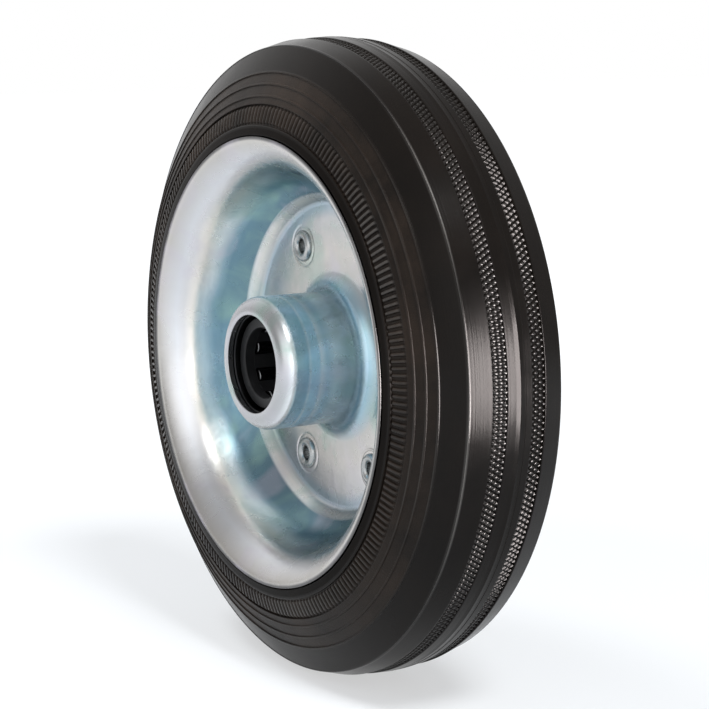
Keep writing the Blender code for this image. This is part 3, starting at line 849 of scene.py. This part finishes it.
def cage_bar(bearing, angle, half_length):
    """One bar between two rollers: its section carried straight along the axle.

    Its sides follow the rollers at the gap, so at a radius r they lie at the angle whose cosine is
    (r^2 + pitch^2 - (roller + gap)^2) / (2 r pitch) from each roller.
    """
    radius = np.linspace(bearing.cage_inside, bearing.cage_outside, 9)
    clear = bearing.roller + bearing.gap
    cosine = (radius ** 2 + bearing.pitch ** 2 - clear ** 2) / (2.0 * radius * bearing.pitch)
    half = math.pi / bearing.rollers - np.arccos(np.minimum(cosine, 1.0))
    section_radius = np.concatenate((radius, radius[::-1]))
    section_angle = angle + np.concatenate((half, -half[::-1]))
    y = np.array((-half_length, half_length))[:, None]
    x, z = section_radius * np.cos(section_angle), section_radius * np.sin(section_angle)
    points = np.stack(np.broadcast_arrays(x, y, z), -1)
    centre = points.mean(1, keepdims=True) + 0.0 * points
    return grid(np.concatenate((centre[:1], points, centre[1:])), loop_rows=False)


# Operators.


class WHEEL_OT_tyre(bpy.types.Operator):
    """Mould the tyre, its ribbed bands and its knurled grooves"""

    bl_idname = "wheel.tyre"
    bl_label = "Tyre"

    def execute(self, context):
        tyre, discs = context.scene.wheel_tyre, context.scene.wheel_discs
        gap = context.scene.wheel_bearing.gap
        rubber = moulded_rubber(tyre)
        outline = tyre_outline(tyre, discs, gap)
        body = grid(turned(outline, TYRE_SIDES))
        wear_and_glint = wear_and_glint_lines(tyre, outline)
        add_piece("tyre_rubber", [body], rubber, "wheel", ["tyre"], wear_and_glint=wear_and_glint)
        for side, name in ((-1.0, "front"), (1.0, "rear")):
            band, wear_and_glint = ribbed_band(tyre, discs, gap, side)
            add_piece(f"tyre_ribs_{name}", [band], rubber, "wheel", ["tyre"], wear_and_glint=wear_and_glint)
            groove, wear_and_glint = knurled_groove(tyre, side)
            add_piece(f"tyre_knurl_{name}", [groove], rubber, "wheel", ["tyre"], wear_and_glint=wear_and_glint)
        return {"FINISHED"}


class WHEEL_OT_discs(bpy.types.Operator):
    """Press the two discs with their rivet holes"""

    bl_idname = "wheel.discs"
    bl_label = "Discs"

    def execute(self, context):
        discs, rivets = context.scene.wheel_discs, context.scene.wheel_rivets
        zinc = zinc_on_pressed_sheet(discs)
        for name, front in (("front_disc", True), ("rear_disc", False)):
            shells = disc_shells(discs, rivets, front)
            add_piece(f"{name}_sheet", shells, zinc, "wheel", [name], merge=True)
        return {"FINISHED"}


class WHEEL_OT_rivets(bpy.types.Operator):
    """Set the tubular rivets"""

    bl_idname = "wheel.rivets"
    bl_label = "Rivets"

    def execute(self, context):
        discs, rivets = context.scene.wheel_discs, context.scene.wheel_rivets
        plating = rolled_zinc(rivets)
        shell = solid_of_turn(rivet_outline(rivets, discs.sheet), RIVET_SIDES)
        for i in range(rivets.number):
            angle = rivets.first + TAU * i / rivets.number
            rivet = moved(shell, rivets.circle, angle, discs.web_plane)
            node = f"rivet_{i + 1}"
            add_piece(f"{node}_rolled", [rivet], plating, "wheel", [node])
        return {"FINISHED"}


class WHEEL_OT_bearing(bpy.types.Operator):
    """Fit the sleeve, the cage and its rollers"""

    bl_idname = "wheel.bearing"
    bl_label = "Bearing"

    def execute(self, context):
        bearing = context.scene.wheel_bearing
        end = SLEEVE_BOX[1].y
        corners = np.array([(bearing.race, -end, 0.0005), (bearing.sleeve, -end, 0.0018),
                            (bearing.sleeve, end, 0.0018), (bearing.race, end, 0.0005)])
        sleeve = solid_of_turn(rounded(corners), SLEEVE_SIDES)
        # The race's near-black grey is painted shade of the deep bore; ground steel is paler.
        steel = ground_steel("drawn_steel_race", "303032", 0.30)
        add_piece("bearing_race", [sleeve], steel, "wheel", ["bearing_sleeve"])

        nylon = moulded_nylon()
        outer_end = CAGE_BOX[1].y
        inner_end = outer_end - bearing.cage_ring
        corners = [(bearing.cage_inside, inner_end), (bearing.cage_outside, inner_end),
                   (bearing.cage_outside, outer_end), (bearing.cage_inside, outer_end)]
        ring = rounded(with_rounding(corners, 0.0004))
        shells = [solid_of_turn(ring * (1.0, way), CAGE_SIDES) for way in (1.0, -1.0)]
        for i in range(bearing.rollers):
            angle = bearing.first + TAU * (i + 0.5) / bearing.rollers
            shells.append(cage_bar(bearing, angle, inner_end + 0.0005))
        add_piece("cage_moulding", shells, nylon, "cage", ["roller_cage"])

        ground = ground_steel("ground_roller_steel", "9a9b9d", 0.16)
        half = bearing.roller_length / 2.0
        corners = np.array([(0.0, -half, 0.0), (bearing.roller, -half, 0.0004),
                            (bearing.roller, half, 0.0004), (0.0, half, 0.0)])
        shell = solid_of_turn(rounded(corners), ROLLER_SIDES)
        for i in range(bearing.rollers):
            roller = moved(shell, bearing.pitch, bearing.first + TAU * i / bearing.rollers, 0.0)
            node, body = f"roller_{i + 1}", f"roller_body_{i + 1}"
            add_piece(f"{node}_ground", [roller], ground, body, [node], merge=True)
        return {"FINISHED"}


class WHEEL_OT_stage(bpy.types.Operator):
    """Lay the pale floor, set the lamps and place the camera"""

    bl_idname = "wheel.stage"
    bl_label = "Stage"

    def execute(self, context):
        stage = context.scene.wheel_stage
        add_floor(context.scene.wheel_tyre.radius, stage)
        add_daylight(context.scene)
        add_lamp("front_softbox", 30.0, 26.0, 1.3, (2.0, 1.3), 6.0)
        add_lamp("key_softbox", 84.0, 52.0, 1.5, (0.42, 0.42), 17.0)
        add_lamp("fill_softbox", -47.0, 62.0, 1.5, (0.4, 0.4), 9.0)
        add_lamp("side_softbox", 101.0, 0.0, 0.368, (0.18, 0.23), 4.6, glint=True)
        add_camera(context.scene, stage)
        context.scene.view_settings.view_transform = "Standard"
        return {"FINISHED"}


def direction(azimuth, elevation):
    """Unit vector towards a place round the wheel. Azimuth 0 looks along +Y from in front."""
    level = math.cos(elevation)
    return Vector((math.sin(azimuth) * level, -math.cos(azimuth) * level, math.sin(elevation)))


def add_floor(radius, stage):
    """A wide pale floor that the tyre stands on.

    What the camera and reflections see of it is lifted to white, less so close to the wheel, so
    that the wheel's shadow stays.
    """
    mesh = bpy.data.meshes.new("floor")
    corners = [(x, y, -radius) for x, y in ((-4.0, -4.0), (4.0, -4.0), (4.0, 4.0), (-4.0, 4.0))]
    mesh.from_pydata(corners, [], [(0, 1, 2, 3)])
    floor = bpy.data.objects.new("floor", mesh)
    bpy.context.scene.collection.objects.link(floor)
    finish, add, shader, place = new_finish("pale_matt_floor")
    nodes = finish.node_tree.nodes
    nodes.remove(shader)
    paint = add("BsdfDiffuse", {"Color": stage.floor})
    away = add("VectorMath", {0: place}, operation="LENGTH")
    far = add("MapRange", {"Value": away, 1: 0.22, 2: 0.6, 3: 0.56, 4: 0.9})
    lift = add("Math", {0: seen_rays(add), 1: far}, operation="MULTIPLY")
    glow = add("Emission", {"Strength": lift})
    both = add("AddShader", {0: paint, 1: glow})
    feed(nodes["Material Output"], {"Surface": both})
    mesh.materials.append(finish)


def seen_rays(add):
    """1 for rays from the camera and for those that a metal or a glass sends on, else 0."""
    rays = add("LightPath", {}).outputs
    seen = rays["Is Camera Ray"]
    for kind in ("Is Glossy Ray", "Is Transmission Ray"):
        seen = add("Math", {0: seen, 1: rays[kind]}, operation="MAXIMUM")
    return seen


def soft_patch(add, towards, azimuth, elevation, width, height, inside, outside):
    """A value that fades smoothly from inside to outside an ellipse of directions, in degrees.

    The direction less the ellipse's centre is turned to its axes and divided by the sines of its
    half widths. The length of that is 0 at the centre and 1 on the edge.
    """
    azimuth, elevation, width, height = map(math.radians, (azimuth, elevation, width, height))
    local = add("Mapping", {
        "Vector": towards, "Location": direction(azimuth, elevation),
        "Rotation": (0.0, -elevation, azimuth - math.pi / 2.0),
        "Scale": (1.0, math.sin(width), math.sin(height)),
    }, vector_type="TEXTURE")
    off = add("VectorMath", {0: local}, operation="LENGTH")
    fade = {"Value": off, 1: 0.35, 2: 1.0, 3: inside, 4: outside}
    return add("MapRange", fade, interpolation_type="SMOOTHSTEP")


def add_daylight(scene):
    """White surroundings to the eye, soft shapes in reflections, and a low even light on the rest.

    Reflections show a backdrop, brightest behind the wheel, and the front, side and key softboxes.
    What isn't seen or mirrored gives an even light of 0.3, a little cool.
    """
    world = bpy.data.worlds.new("studio")
    scene.world = world
    world.use_nodes = True
    add = functools.partial(add_node, world.node_tree)
    towards = add("TexCoord", {}).outputs["Generated"]
    mirrored = soft_patch(add, towards, 268.0, 24.0, 75.0, 60.0, 1.03, 0.55)
    for azimuth, elevation, width, height, strength in (
        (40.0, 10.0, 72.0, 60.0, 1.1), (82.0, 0.0, 24.0, 36.0, 1.1), (76.0, 56.0, 15.0, 15.0, 6.0),
    ):
        box = soft_patch(add, towards, azimuth, elevation, width, height, strength, 0.0)
        mirrored = add("Math", {0: mirrored, 1: box}, operation="ADD")
    straight = add("LightPath", {}).outputs["Is Camera Ray"]
    shown = add("Mix", {"Factor": straight, 2: mirrored, 3: 1.0})
    seen = seen_rays(add)
    light = add("Mix", {"Factor": seen, 2: 0.3, 3: shown})
    tints = {"Factor": seen, 6: (0.88, 0.97, 1.07, 1.0), 7: (1.0, 1.0, 1.0, 1.0)}
    cool = add("Mix", tints, data_type="RGBA")
    feed(world.node_tree.nodes["Background"], {"Color": cool, "Strength": light})


def add_lamp(name, azimuth, elevation, distance, size, power, glint=False):
    """A soft lamp that faces the wheel, with its angles in degrees.

    It lights the wheel and isn't mirrored, because the world's soft patches stand for it in
    reflections. A glint is the other way round: a faintly warm lamp that only reflections show.
    """
    lamp = bpy.data.lights.new(name, "AREA")
    lamp.shape = "ELLIPSE"
    lamp.size, lamp.size_y = size
    lamp.energy = power
    lamp.color = (1.0, 0.91, 0.89) if glint else (1.0, 1.0, 1.0)
    thing = bpy.data.objects.new(name, lamp)
    thing.visible_camera = False
    thing.visible_glossy = glint
    thing.visible_diffuse = not glint
    bpy.context.scene.collection.objects.link(thing)
    away = direction(math.radians(azimuth), math.radians(elevation))
    thing.location = away * distance
    thing.rotation_euler = (-away).to_track_quat("-Z", "Y").to_euler()


def add_camera(scene, stage):
    """The camera at the photograph's angle."""
    back = direction(stage.azimuth, stage.elevation)
    right = Vector((math.cos(stage.azimuth), math.sin(stage.azimuth), 0.0))
    up = back.cross(right)
    camera = bpy.data.cameras.new("camera")
    camera.lens = stage.lens
    camera.sensor_width = 36.0
    camera.clip_start, camera.clip_end = 0.01, 50.0
    thing = bpy.data.objects.new("camera", camera)
    scene.collection.objects.link(thing)
    place = back * stage.distance + right * stage.aside + up * stage.above
    thing.matrix_world = Matrix.Translation(place) @ Matrix((right, up, back)).transposed().to_4x4()
    scene.camera = thing


class WHEEL_PT_panel(bpy.types.Panel):
    """Sizes and steps of the wheel in the sidebar"""

    bl_idname = "WHEEL_PT_panel"
    bl_label = "Replacement Wheel"
    bl_space_type = "VIEW_3D"
    bl_region_type = "UI"
    bl_category = "Wheel"

    def draw(self, context):
        for name, (group, operator) in GROUPS.items():
            box = self.layout.box()
            box.label(text=operator.bl_label)
            settings = getattr(context.scene, name)
            for field in group.__annotations__:
                box.prop(settings, field)
            box.operator(operator.bl_idname)


GROUPS = {
    "wheel_tyre": (WHEEL_PG_tyre, WHEEL_OT_tyre),
    "wheel_discs": (WHEEL_PG_discs, WHEEL_OT_discs),
    "wheel_rivets": (WHEEL_PG_rivets, WHEEL_OT_rivets),
    "wheel_bearing": (WHEEL_PG_bearing, WHEEL_OT_bearing),
    "wheel_stage": (WHEEL_PG_stage, WHEEL_OT_stage),
}


def register():
    """Register the classes and hang their settings on the scene."""
    for name, (group, operator) in GROUPS.items():
        bpy.utils.register_class(group)
        bpy.utils.register_class(operator)
        setattr(bpy.types.Scene, name, bpy.props.PointerProperty(type=group))
    bpy.utils.register_class(WHEEL_PT_panel)


def unregister():
    """Undo what register did."""
    bpy.utils.unregister_class(WHEEL_PT_panel)
    for name, (group, operator) in reversed(GROUPS.items()):
        delattr(bpy.types.Scene, name)
        bpy.utils.unregister_class(operator)
        bpy.utils.unregister_class(group)


def main():
    """Register the add-on and run its steps in order."""
    register()
    bpy.ops.wheel.tyre()
    bpy.ops.wheel.discs()
    bpy.ops.wheel.rivets()
    bpy.ops.wheel.bearing()
    bpy.ops.wheel.stage()


if __name__ == "__main__":
    main()
